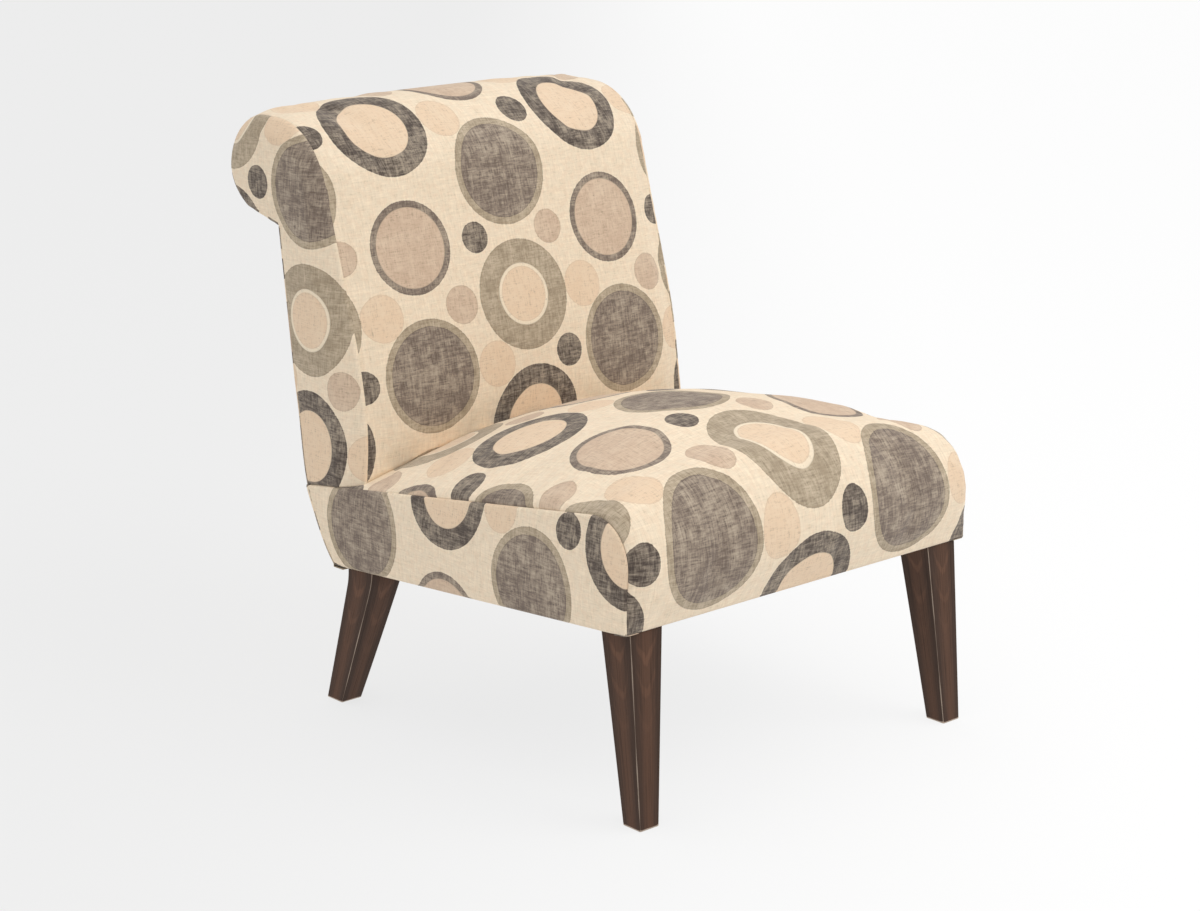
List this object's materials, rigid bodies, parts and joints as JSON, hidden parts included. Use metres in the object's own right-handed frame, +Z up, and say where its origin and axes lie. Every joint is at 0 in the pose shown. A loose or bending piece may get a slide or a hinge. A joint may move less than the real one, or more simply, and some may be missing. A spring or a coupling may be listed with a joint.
{
  "type": "slipper chair",
  "caption": "Armless low lounge chair with a crowned spring seat, a rolled back, printed woven upholstery and square tapered wooden legs.",
  "frame": {"origin": "on the floor, below the middle of the chair's bounding box", "axes": "+Z up, -Y towards the front of the seat, +X across the chair to the right of someone facing its front"},
  "size_m": [0.572, 0.8172, 0.7782],
  "materials": {
    "printed_linen": "plain-weave linen look with slubs, cream ground, a washed print of rings and dots in charcoal, taupe and peach",
    "stained_wood": "dark espresso stain under satin lacquer, rubbed lighter along the edges",
    "frame_wood": "raw sawn hardwood and plywood",
    "foam": "open-cell polyurethane foam",
    "felt": "needled grey felt",
    "jute_webbing": "woven jute strap",
    "cardboard": "bent panel board",
    "dust_cloth": "black spun-bonded cloth",
    "spring_steel": "bare drawn spring wire",
    "zinc_steel": "bright zinc plate",
    "glide_plastic": "moulded dark plastic"
  },
  "bodies": {
    "root": {"back_foam": "foam", "back_post_left": "frame_wood", "back_post_right": "frame_wood", "back_side_cover_left": "printed_linen", "back_side_cover_right": "printed_linen", "back_tack_rail": "frame_wood", "back_top_rail": "frame_wood", "back_webbing_1": "jute_webbing", "back_webbing_2": "jute_webbing", "back_webbing_3": "jute_webbing", "corner_block_front_left": "frame_wood", "corner_block_front_right": "frame_wood", "corner_block_rear_left": "frame_wood", "corner_block_rear_right": "frame_wood", "dust_cover": "dust_cloth", "glide_front_left": "glide_plastic", "glide_front_right": "glide_plastic", "glide_rear_left": "glide_plastic", "glide_rear_right": "glide_plastic", "hanger_bolt_front_left": "zinc_steel", "hanger_bolt_front_right": "zinc_steel", "hanger_bolt_rear_left": "zinc_steel", "hanger_bolt_rear_right": "zinc_steel", "inside_back_cover": "printed_linen", "leg_front_left": "stained_wood", "leg_front_right": "stained_wood", "leg_rear_left": "stained_wood", "leg_rear_right": "stained_wood", "outside_back_cover": "printed_linen", "roll_foam": "foam", "scroll_board": "cardboard", "seat_back_rail": "frame_wood", "seat_foam": "foam", "seat_front_rail": "frame_wood", "seat_side_cover_left": "printed_linen", "seat_side_cover_right": "printed_linen", "seat_side_rail_left": "frame_wood", "seat_side_rail_right": "frame_wood", "seat_spring_1": "spring_steel", "seat_spring_2": "spring_steel", "seat_spring_3": "spring_steel", "seat_spring_4": "spring_steel", "seat_top_cover": "printed_linen", "spring_clip_front_1": "zinc_steel", "spring_clip_front_2": "zinc_steel", "spring_clip_front_3": "zinc_steel", "spring_clip_front_4": "zinc_steel", "spring_clip_rear_1": "zinc_steel", "spring_clip_rear_2": "zinc_steel", "spring_clip_rear_3": "zinc_steel", "spring_clip_rear_4": "zinc_steel", "spring_insulator": "felt", "spring_tie_wire": "spring_steel", "t_nut_front_left": "zinc_steel", "t_nut_front_right": "zinc_steel", "t_nut_rear_left": "zinc_steel", "t_nut_rear_right": "zinc_steel"}
  },
  "joints": []
}
